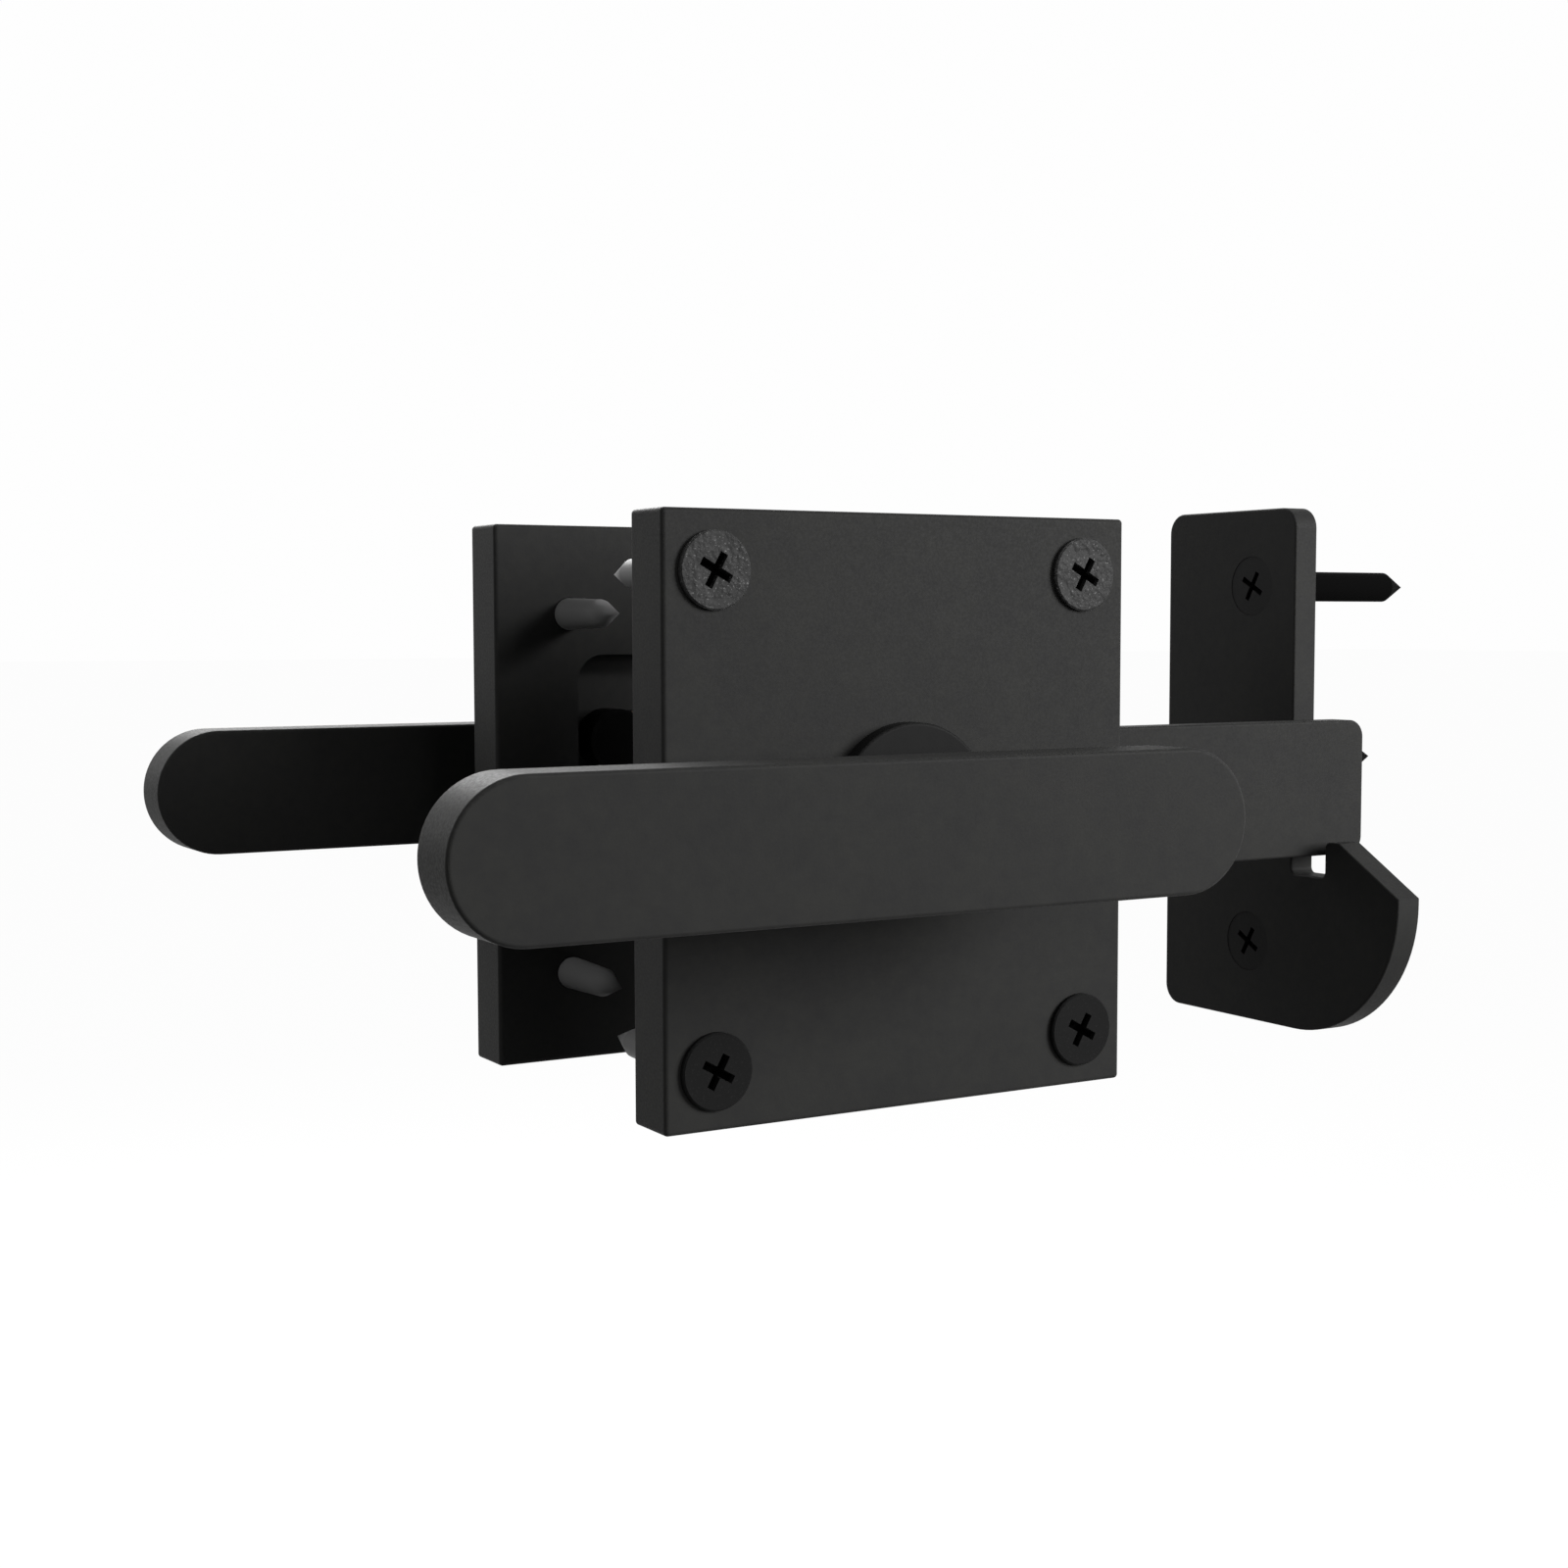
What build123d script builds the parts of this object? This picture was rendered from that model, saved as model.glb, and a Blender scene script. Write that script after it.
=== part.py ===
from build123d import *
import math
import os

# Lever gate latch: a plate and a lever on each face of a gate leaf, joined by a spindle
# that lifts a flat latch bar out of a hook catch on the post.
# Origin: the spindle axis where it meets the gate's front face.
# +X runs towards the post, +Y through the gate away from the front, +Z up. Millimetres.

# Gate leaf that the two plates clamp
gate_thickness = 60.0

# Plates
plate_width = 99.0
plate_height = 108.0
plate_thickness = 12.0
plate_edge_radius = 0.8
pocket_wall = 4.0
pocket_width = 63.4
pocket_corner_radius = 5.5

# Latch bar and its travel
bar_height = 28.0
bar_thickness = 6.0
bar_reach = 117.3
bar_corner_radius = 3.6
bar_edge_radius = 0.5
bar_floor_gap = 0.2
bar_channel_gap = 0.5
swing_limit = 15.0
swing_clearance = 0.35
tail_reach = 27.0
tail_height = 12.0
tail_corner_radius = 3.0

# Stop pins, one in each pocket
pin_left_of_spindle = 22.0
pin_above_spindle = 10.6
pin_diameter = 12.7
pin_inset = 0.6
pin_edge_chamfer = 0.6
pin_spigot_diameter = 6.0
pin_spigot_length = 3.0
stop_gap = 0.15

# Levers
lever_left_reach = 105.5
lever_right_reach = 43.6
lever_height = 25.5
lever_thickness = 12.0
lever_edge_radius = 0.7
lever_standoff = 30.0
neck_diameter = 17.0
neck_root_radius = 2.0
journal_diameter = 14.0
shoulder_gap = 0.1

# Bushes and roses
bush_diameter = 18.0
bush_flange_diameter = 24.0
bush_flange_thickness = 1.2
rose_diameter = 33.0
rose_thickness = 3.3
rose_edge_radius = 0.6
rose_neck_gap = 0.5

# Spindle and what is held on it
spindle_size = 8.0
spindle_overlap = 26.0
spindle_chamfer = 0.6
washer_diameter = 18.0
washer_thickness = 1.2
set_screw_diameter = 5.0
set_screw_from_plate = 14.0
set_screw_socket = 2.5
set_screw_socket_depth = 2.0

# Return spring and its hub
spring_wire = 1.6
spring_mean_radius = 11.0
spring_turns = 2.5
spring_wire_gap = 0.05
spring_leg_overhang = 4.0
spring_pin_gap = 0.1
spring_elbow = 2.0
spring_elbow_radius = 1.2
spring_flange_gap = 0.15
hub_radius = 8.0
hub_flange_radius = 13.5
hub_flange_thickness = 1.2
hub_gate_inset = 0.3

# Wood screws
screw_diameter = 6.4
screw_neck_diameter = 5.6
screw_cone_diameter = 12.6
screw_tip_length = 4.6
screw_head_diameter = 13.8
screw_head_rise = 1.1
screw_head_chamfer = 0.3
screw_hole_clearance = 0.15
recess_span = 6.6
recess_arm = 1.3
recess_depth = 2.2
recess_taper = 8.0
recess_turn = 24.0
front_screw_length = 40.0
front_screw_from_side = 9.9
front_screw_from_end = 10.6
back_screw_length = 36.0
back_screw_from_side = 16.0
back_screw_from_end = 17.7

# Hook catch on the post
catch_from_spindle = 104.9
catch_thickness = 6.0
catch_depth = 40.0
catch_top = 58.3
catch_corner_radius = 4.3
catch_edge_radius = 0.4
notch_width = 9.8
notch_floor = -18.4
notch_corner_radius = 1.2
nose_top = -11.0
nose_flat = 4.0
nose_tip_radius = 1.2
ramp_front = 30.4
ramp_foot = -20.8
belly_radius = 29.0
belly_start = -22.2
catch_screw_length = 44.0
catch_screw_y = 13.2
catch_screw_middle_y = 22.3
catch_screw_middle_z = 3.9
catch_screw_spacing = 38.2
catch_screw_land = 0.6
catch_screw_inset = 0.1

# Fits
running_clearance = 0.05
fixed_clearance = 0.03

# Places that follow from the sizes above
swing = math.radians(swing_limit)
pocket_depth = plate_thickness - pocket_wall
bar_front = -pocket_depth + bar_floor_gap
bar_top_at_edge = (
    (plate_width / 2 + bar_height / 2 * math.sin(swing)) * math.tan(swing)
    + bar_height / 2 * math.cos(swing)
)
pocket_half_height = bar_top_at_edge + swing_clearance
lever_inner_face = -(plate_thickness + lever_standoff)
spring_start = gate_thickness + hub_gate_inset + hub_flange_thickness + spring_flange_gap + spring_wire / 2
front_screw_x = plate_width / 2 - front_screw_from_side
front_screw_z = plate_height / 2 - front_screw_from_end
back_screw_x = plate_width / 2 - back_screw_from_side
back_screw_z = plate_height / 2 - back_screw_from_end
mid_gate = Plane.XZ.offset(-gate_thickness / 2)


def rod(radius, start, length, x=0.0, z=0.0):
    # Round bar along +Y, starting at the given Y.
    bar = Cylinder(radius, length, align=(Align.CENTER, Align.CENTER, Align.MIN))
    return Pos(x, start, z) * Rot(-90, 0, 0) * bar


def square_rod(size, start, length):
    # Square bar along +Y, centred on the spindle axis.
    return Pos(0, start, 0) * Box(size, length, size, align=(Align.CENTER, Align.MIN, Align.CENTER))


def to_back(shape):
    # Mirror image across the middle of the gate leaf.
    return mirror(shape, about=mid_gate)


def screw_section(length, head_diameter, head_height, grip):
    # Half section of a countersunk screw: head top at Z = 0, tip at Z = length.
    # The neck is thinner than the body and ends at the gate side of what it holds.
    head_radius = head_diameter / 2
    cone_radius = screw_cone_diameter / 2
    neck_radius = screw_neck_diameter / 2
    body_radius = screw_diameter / 2
    points = [
        (0, 0),
        (head_radius, 0),
        (head_radius, head_height),
        (cone_radius, head_height),
        (neck_radius, head_height + cone_radius - neck_radius),
        (neck_radius, grip),
        (body_radius, grip),
        (body_radius, length - screw_tip_length),
        (0, length),
    ]
    kept = [point for i, point in enumerate(points) if i == 0 or point != points[i - 1]]
    return make_face(Plane.XZ * Polyline(*kept, close=True))


def hole_section(head_height, thickness):
    # Half section of a screw's countersunk hole, which the screw's body passes through.
    cone_radius = screw_cone_diameter / 2 + fixed_clearance
    body_radius = screw_diameter / 2 + screw_hole_clearance
    points = [
        (0, -thickness),
        (cone_radius, -thickness),
        (cone_radius, head_height),
        (body_radius, head_height + cone_radius - body_radius),
        (body_radius, 2 * thickness),
        (0, 2 * thickness),
    ]
    return make_face(Plane.XZ * Polyline(*points, close=True))


def make_screw(length, head_diameter, head_height, grip):
    # Wood screw along +Z with a cross recess in its head.
    screw = revolve(screw_section(length, head_diameter, head_height, grip), Axis.Z)
    rim = screw.edges().group_by(Axis.Z)[0]
    screw = chamfer(rim, screw_head_chamfer)
    cross = Rectangle(recess_span, recess_arm) + Rectangle(recess_arm, recess_span)
    recess = extrude(Rot(0, 0, recess_turn) * cross, recess_depth, taper=recess_taper)
    return screw - recess


def make_plate_screw(length):
    return make_screw(length, screw_head_diameter, screw_head_rise, screw_head_rise + plate_thickness)


def make_plate():
    # Front plate as on the bench: gate face on Y = 0, outer face at Y = -plate_thickness.
    size = (plate_width, plate_thickness, plate_height)
    plate = Box(*size, align=(Align.CENTER, Align.MAX, Align.CENTER))
    plate = fillet(plate.edges(), plate_edge_radius)
    pocket = RectangleRounded(pocket_width, 2 * pocket_half_height, pocket_corner_radius)
    plate -= extrude(Plane.XZ * pocket, pocket_depth)
    plate -= rod(bush_diameter / 2 + fixed_clearance, -plate_thickness, plate_thickness)
    plate -= rod(
        pin_spigot_diameter / 2 + fixed_clearance,
        -pocket_depth - pin_spigot_length,
        plate_thickness,
        -pin_left_of_spindle,
        pin_above_spindle,
    )
    return plate


def drill_plate(plate, screw_x, screw_z):
    # Countersunk holes for the four screws, drilled from the outer face.
    hole = revolve(hole_section(screw_head_rise, plate_thickness), Axis.Z)
    for place in plate_screw_places(screw_x, screw_z).values():
        plate -= place * hole
    return plate


def make_front_plate():
    # The front pocket opens to the right so that the bar can leave and swing up.
    channel_bottom = -bar_height / 2 - bar_channel_gap
    channel = Pos(0, 0, channel_bottom) * Box(
        plate_width,
        pocket_depth,
        pocket_half_height - channel_bottom,
        align=(Align.MIN, Align.MAX, Align.MIN),
    )
    return drill_plate(make_plate() - channel, front_screw_x, front_screw_z)


def make_back_plate():
    return to_back(drill_plate(make_plate(), back_screw_x, back_screw_z))


def make_stop_pin():
    # Headed pin pressed into the pocket floor; it stops the bar's tail or anchors the spring.
    radius = pin_diameter / 2
    length = pocket_depth - pin_inset
    pin = rod(radius, -pocket_depth, length, -pin_left_of_spindle, pin_above_spindle)
    pin = chamfer(pin.edges().group_by(Axis.Y)[-1], pin_edge_chamfer)
    spigot = rod(
        pin_spigot_diameter / 2,
        -pocket_depth - pin_spigot_length,
        pin_spigot_length,
        -pin_left_of_spindle,
        pin_above_spindle,
    )
    return pin + spigot


def make_bush():
    # Flanged sleeve in the plate's wall that the lever's journal turns in.
    bush = rod(bush_diameter / 2, -plate_thickness, pocket_wall)
    bush += rod(bush_flange_diameter / 2, -plate_thickness - bush_flange_thickness, bush_flange_thickness)
    bore = rod(journal_diameter / 2 + running_clearance, -2 * plate_thickness, 2 * plate_thickness)
    return bush - bore


def make_rose():
    # Round cover that hides the bush's flange.
    rose = rod(rose_diameter / 2, -plate_thickness - rose_thickness, rose_thickness)
    rose = fillet(rose.edges().group_by(Axis.Y)[0], rose_edge_radius)
    seat = rod(
        bush_flange_diameter / 2 + fixed_clearance,
        -plate_thickness - bush_flange_thickness - fixed_clearance,
        plate_thickness,
    )
    bore = rod(neck_diameter / 2 + rose_neck_gap, -2 * plate_thickness, 2 * plate_thickness)
    return rose - seat - bore


def make_lever():
    # Flat lever with round ends, cast in one with its neck and journal.
    length = lever_left_reach + lever_right_reach
    middle = (lever_right_reach - lever_left_reach) / 2
    outline = Pos(middle, 0) * SlotOverall(length, lever_height)
    lever = Pos(0, lever_inner_face, 0) * extrude(Plane.XZ * outline, lever_thickness)
    lever = fillet(lever.faces().filter_by(Axis.Y).edges(), lever_edge_radius)
    shoulder = -plate_thickness - bush_flange_thickness - shoulder_gap
    lever += rod(neck_diameter / 2, lever_inner_face, shoulder - lever_inner_face)
    root = [
        edge
        for edge in lever.edges().filter_by(GeomType.CIRCLE)
        if abs(edge.radius - neck_diameter / 2) < 0.01 and abs(edge.center().Y - lever_inner_face) < 0.01
    ]
    lever = fillet(root, neck_root_radius)
    lever += rod(journal_diameter / 2, shoulder, bar_front - shoulder)
    socket_size = spindle_size + 2 * fixed_clearance
    lever -= square_rod(socket_size, bar_front - spindle_overlap, spindle_overlap)
    thread = Pos(0, -plate_thickness - set_screw_from_plate, 0) * Cylinder(
        set_screw_diameter / 2 + fixed_clearance,
        neck_diameter,
        align=(Align.CENTER, Align.CENTER, Align.MAX),
    )
    return lever - thread


def make_set_screw():
    # Grub screw under the neck that bites on the spindle's lower flat.
    length = neck_diameter / 2 - spindle_size / 2 - fixed_clearance
    grub = Cylinder(set_screw_diameter / 2, length, align=(Align.CENTER, Align.CENTER, Align.MIN))
    socket = extrude(RegularPolygon(set_screw_socket / 2, 6), set_screw_socket_depth)
    return Pos(0, -plate_thickness - set_screw_from_plate, -neck_diameter / 2) * (grub - socket)


def make_spindle():
    # Square bar through the gate, into both levers.
    start = bar_front - spindle_overlap + fixed_clearance
    spindle = square_rod(spindle_size, start, gate_thickness - 2 * start)
    ends = spindle.faces().filter_by(Axis.Y).edges()
    return chamfer(ends, spindle_chamfer)


def make_latch_bar():
    # Flat bar on the spindle: a round boss, a tail under the stop pin and a long arm to the catch.
    arm = Rectangle(bar_reach, bar_height, align=(Align.MIN, Align.CENTER))
    arm = fillet(arm.vertices().group_by(Axis.X)[-1], bar_corner_radius)
    tail_top = pin_above_spindle - pin_diameter / 2 - stop_gap
    tail = Pos(0, tail_top) * Rectangle(tail_reach, tail_height, align=(Align.MAX, Align.MAX))
    tail = fillet(tail.vertices().group_by(Axis.X)[0], tail_corner_radius)
    outline = arm + Circle(bar_height / 2) + tail
    bar = Pos(0, bar_front, 0) * extrude(Plane.XZ * outline, -bar_thickness)
    bar = fillet(bar.faces().filter_by(Axis.Y).edges(), bar_edge_radius)
    return bar - square_rod(spindle_size + 2 * fixed_clearance, bar_front, bar_thickness)


def make_washer():
    # Push-on washer that keeps the bar against the lever's journal.
    start = bar_front + bar_thickness
    washer = rod(washer_diameter / 2, start, washer_thickness)
    return washer - square_rod(spindle_size + 2 * fixed_clearance, start, washer_thickness)


def spring_angle():
    # Direction, seen from the front, from the leg's tangent point on the coil to the axis.
    reach = math.hypot(pin_left_of_spindle, pin_above_spindle)
    pin_angle = math.atan2(pin_above_spindle, -pin_left_of_spindle)
    offset = pin_diameter / 2 + spring_wire / 2 + spring_pin_gap
    return pin_angle - math.acos(-(spring_mean_radius + offset) / reach)


def spring_leg_length():
    # From the tangent point on the coil past the stop pin.
    reach = math.hypot(pin_left_of_spindle, pin_above_spindle)
    offset = pin_diameter / 2 + spring_wire / 2 + spring_pin_gap
    return math.sqrt(reach**2 - (spring_mean_radius + offset) ** 2) + spring_leg_overhang


def spring_turn():
    # Turn about the axis that brings the coil's own frame to the stop pin's leg.
    return -math.degrees(spring_angle()) - 180 - 360 * spring_turns


def make_spring_hub():
    # Sleeve on the spindle with a flange that takes the spring's axial leg.
    start = gate_thickness + hub_gate_inset
    journal_end = gate_thickness - bar_front
    hub = rod(hub_flange_radius, start, hub_flange_thickness)
    hub += rod(hub_radius, start, journal_end - start)
    hub -= square_rod(spindle_size + 2 * fixed_clearance, start, journal_end - start)
    through = 2 * hub_flange_thickness
    hole = Pos(spring_mean_radius, -spring_elbow, 0) * Cylinder(spring_wire / 2 + spring_pin_gap, 2 * through)
    return hub - Pos(0, start, 0) * Rot(-90, 0, 0) * Rot(0, 0, spring_turn()) * hole


def make_spring():
    # Torsion spring: an axial leg in the hub's flange and a tangent leg behind the stop pin.
    wire = spring_wire / 2
    pitch = spring_wire + spring_wire_gap
    helix = Helix(pitch, pitch * spring_turns, spring_mean_radius)
    corner = helix @ 0 - (helix % 0) * spring_elbow
    axial_end = corner - Vector(0, 0, hub_flange_thickness + wire)
    elbow = FilletPolyline(axial_end, corner, helix @ 0, radius=spring_elbow_radius)
    leg = Line(helix @ 1, helix @ 1 + (helix % 1) * spring_leg_length())
    path = Wire(elbow.edges() + helix.edges() + leg.edges())
    spring = sweep(Plane(origin=axial_end, z_dir=(0, 0, 1)) * Circle(wire), path=path)
    return Pos(0, spring_start, 0) * Rot(-90, 0, 0) * Rot(0, 0, spring_turn()) * spring


def make_catch_outline():
    # Side view of the catch in (Y, Z): a strip, a notch for the bar and a ramped nose in front.
    bottom = belly_start - belly_radius
    belly_centre = belly_radius - ramp_front
    right = Polyline(
        (belly_centre, bottom),
        (catch_depth, bottom),
        (catch_depth, catch_top),
        (0, catch_top),
        (0, notch_floor),
        (-notch_width, notch_floor),
        (-notch_width, nose_top),
        (-notch_width - nose_flat, nose_top),
        (-ramp_front, ramp_foot),
        (-ramp_front, belly_start),
    )
    middle = math.sqrt(0.5) * belly_radius
    belly = ThreePointArc(
        (-ramp_front, belly_start),
        (belly_centre - middle, belly_start - middle),
        (belly_centre, bottom),
    )
    return make_face(Curve() + [right, belly])


def make_catch_plate():
    # Flat plate against the post, drawn in the YZ plane and extruded towards +X.
    outline = make_catch_outline()
    corners = {
        (catch_depth, belly_start - belly_radius): catch_corner_radius,
        (catch_depth, catch_top): catch_corner_radius,
        (0, catch_top): catch_corner_radius,
        (0, notch_floor): notch_corner_radius,
        (-notch_width, notch_floor): notch_corner_radius,
        (-notch_width, nose_top): nose_tip_radius,
    }
    for (y, z), radius in corners.items():
        vertex = outline.vertices().sort_by_distance((y, z, 0))[0]
        outline = fillet(vertex, radius)
    plate = Pos(catch_from_spindle, 0, 0) * extrude(Plane.YZ * outline, catch_thickness)
    plate = fillet(plate.faces().filter_by(Axis.X).edges(), catch_edge_radius)
    hole = revolve(hole_section(catch_screw_land, catch_thickness), Axis.Z)
    for place in catch_screw_places().values():
        plate -= place * hole
    return plate


def catch_screw_places():
    # The three screws of the catch, pointing into the post along +X.
    head = catch_from_spindle + catch_screw_inset
    low = catch_screw_middle_z - catch_screw_spacing
    high = catch_screw_middle_z + catch_screw_spacing
    return {
        "catch_screw_top": Pos(head, catch_screw_y, high) * Rot(0, 90, 0),
        "catch_screw_middle": Pos(head, catch_screw_middle_y, catch_screw_middle_z) * Rot(0, 90, 0),
        "catch_screw_bottom": Pos(head, catch_screw_y, low) * Rot(0, 90, 0),
    }


def plate_screw_places(screw_x, screw_z):
    # Names and places of four screws through the front plate's outer face.
    head = -plate_thickness - screw_head_rise
    places = {}
    for z_name, z in (("top", screw_z), ("bottom", -screw_z)):
        for x_name, x in (("left", -screw_x), ("right", screw_x)):
            places[z_name + "_" + x_name] = Pos(x, head, z) * Rot(-90, 0, 0)
    return places


def build():
    # Every node by name.
    pin = make_stop_pin()
    bush = make_bush()
    rose = make_rose()
    lever = make_lever()
    set_screw = make_set_screw()
    nodes = {
        "front_plate": make_front_plate(),
        "back_plate": make_back_plate(),
        "front_stop_pin": pin,
        "back_stop_pin": to_back(pin),
        "front_bush": bush,
        "back_bush": to_back(bush),
        "front_rose": rose,
        "back_rose": to_back(rose),
        "front_lever": lever,
        "back_lever": to_back(lever),
        "front_set_screw": set_screw,
        "back_set_screw": to_back(set_screw),
        "spindle": make_spindle(),
        "latch_bar": make_latch_bar(),
        "push_on_washer": make_washer(),
        "spring_hub": make_spring_hub(),
        "return_spring": make_spring(),
        "catch_plate": make_catch_plate(),
    }
    front_screw = make_plate_screw(front_screw_length)
    for name, place in plate_screw_places(front_screw_x, front_screw_z).items():
        nodes["front_screw_" + name] = place * front_screw
    back_screw = make_plate_screw(back_screw_length)
    for name, place in plate_screw_places(back_screw_x, back_screw_z).items():
        nodes["back_screw_" + name] = to_back(place * back_screw)
    catch_grip = catch_thickness - catch_screw_inset
    catch_screw = make_screw(catch_screw_length, screw_cone_diameter, catch_screw_land, catch_grip)
    for name, place in catch_screw_places().items():
        nodes[name] = place * catch_screw
    return nodes


os.makedirs("parts", exist_ok=True)
for node_name, solid in build().items():
    export_step(solid, "parts/" + node_name + ".step")
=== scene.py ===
"""Looks of a lever gate latch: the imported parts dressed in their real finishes, in a plain studio."""

import logging
import math
from dataclasses import dataclass
from enum import Enum
from typing import Optional

import bmesh
import bpy
from mathutils import Matrix, Vector


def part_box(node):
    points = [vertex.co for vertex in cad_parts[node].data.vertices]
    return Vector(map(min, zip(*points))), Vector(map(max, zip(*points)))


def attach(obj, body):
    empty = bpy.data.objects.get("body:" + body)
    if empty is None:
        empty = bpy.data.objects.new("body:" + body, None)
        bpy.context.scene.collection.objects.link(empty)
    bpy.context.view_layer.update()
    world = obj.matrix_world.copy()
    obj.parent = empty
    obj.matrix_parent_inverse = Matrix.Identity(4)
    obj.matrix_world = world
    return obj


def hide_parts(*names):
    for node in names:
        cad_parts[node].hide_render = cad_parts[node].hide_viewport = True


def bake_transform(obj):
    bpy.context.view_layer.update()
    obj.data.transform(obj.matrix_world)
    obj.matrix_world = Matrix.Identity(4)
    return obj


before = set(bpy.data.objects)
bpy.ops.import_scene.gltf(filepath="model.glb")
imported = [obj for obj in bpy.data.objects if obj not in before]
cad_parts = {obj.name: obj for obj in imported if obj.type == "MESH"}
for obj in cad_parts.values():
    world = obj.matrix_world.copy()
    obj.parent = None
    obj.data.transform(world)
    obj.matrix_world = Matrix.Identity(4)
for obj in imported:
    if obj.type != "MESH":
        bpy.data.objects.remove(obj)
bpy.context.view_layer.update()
MM = 0.001
# Width of the photograph in pixels.
PHOTO_PIXELS = 1600
# Corners of a mesh in millimetres that are closer than this are one corner.
MERGE_MM = 0.001
# Nearly all of a noise texture lies between these two values.
NOISE_LOW, NOISE_HIGH = 0.3, 0.7
# Sockets of a Mix node for colours. They go by number, because its other kinds share their names.
MIX_FACTOR, MIX_FIRST, MIX_SECOND, MIX_COLOUR = 0, 6, 7, 2
# Output sockets by the name of the input that each one goes to.
Sockets = dict[str, bpy.types.NodeSocket]

logging.basicConfig(level=logging.INFO, format="%(name)s: %(message)s")
log = logging.getLogger("gate_latch")


class Body(Enum):
    """The two bodies of the latch."""

    MOUNTED = "mounted"
    LEVER_SET = "lever_set"


class Slot(Enum):
    """Material slot names for the pieces that are made again here."""

    SCREW = "black_screw_finish"
    SPRING = "spring_steel"


class Side(Enum):
    """Face of the gate that a piece is fixed to."""

    FRONT = "front"
    BACK = "back"


class Corner(Enum):
    """Corner of a plate that a screw stands in."""

    TOP_LEFT = "top_left"
    TOP_RIGHT = "top_right"
    BOTTOM_LEFT = "bottom_left"
    BOTTOM_RIGHT = "bottom_right"


def linear(hex_colour: str) -> tuple[float, float, float, float]:
    """Turn an sRGB hex value into a linear colour.

    Args:
        hex_colour: six hex digits, such as "3a3a39".

    Returns:
        Red, green, blue and an alpha of 1, linear.
    """
    values = [int(hex_colour[i : i + 2], 16) / 255 for i in (0, 2, 4)]
    red, green, blue = (v / 12.92 if v <= 0.04045 else ((v + 0.055) / 1.055) ** 2.4 for v in values)
    return red, green, blue, 1.0


def pattern_scale(size_mm: float) -> float:
    """Scale of a noise texture on Object coordinates for features of a real size.

    Args:
        size_mm: size of one feature in millimetres.

    Returns:
        Features for each metre.
    """
    return 1.0 / (size_mm * MM)


def add_node(
    tree: bpy.types.NodeTree, kind: str, inputs: Optional[dict] = None, **settings: object
) -> bpy.types.Node:
    """Add a shader node with its settings and links.

    Args:
        tree: node tree that gets the node.
        kind: Blender's type name of the node.
        inputs: values or output sockets by the name or number of the input.
        settings: properties of the node itself.

    Returns:
        The new node.
    """
    node = tree.nodes.new(kind)
    for name, value in settings.items():
        setattr(node, name, value)
    for name, value in (inputs or {}).items():
        if isinstance(value, bpy.types.NodeSocket):
            tree.links.new(value, node.inputs[name])
        else:
            node.inputs[name].default_value = value
    return node


@dataclass(frozen=True)
class Finish:
    """What every finish has: its name and the numbers of its shader."""

    name: str
    roughness: float
    metallic: float
    specular: float = 0.5

    def material(self) -> bpy.types.Material:
        """Build the finish's material.

        Returns:
            A material whose shader has this finish's numbers and pattern.
        """
        material = bpy.data.materials.new(self.name)
        material.use_nodes = True
        tree = material.node_tree
        tree.nodes.clear()
        numbers = {
            "Metallic": self.metallic,
            "Roughness": self.roughness,
            "Specular IOR Level": self.specular,
        }
        shader = add_node(tree, "ShaderNodeBsdfPrincipled", numbers)
        place = add_node(tree, "ShaderNodeTexCoord").outputs["Object"]
        for name, socket in self.pattern(tree, place).items():
            tree.links.new(socket, shader.inputs[name])
        add_node(tree, "ShaderNodeOutputMaterial", {"Surface": shader.outputs["BSDF"]})
        return material

    def pattern(self, tree: bpy.types.NodeTree, place: bpy.types.NodeSocket) -> Sockets:
        """Make what changes over the surface: colour, roughness and relief.

        Args:
            tree: the material's node tree.
            place: Object coordinates.

        Returns:
            Output sockets by the name of the shader's input that each one goes to.
        """
        raise NotImplementedError


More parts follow.
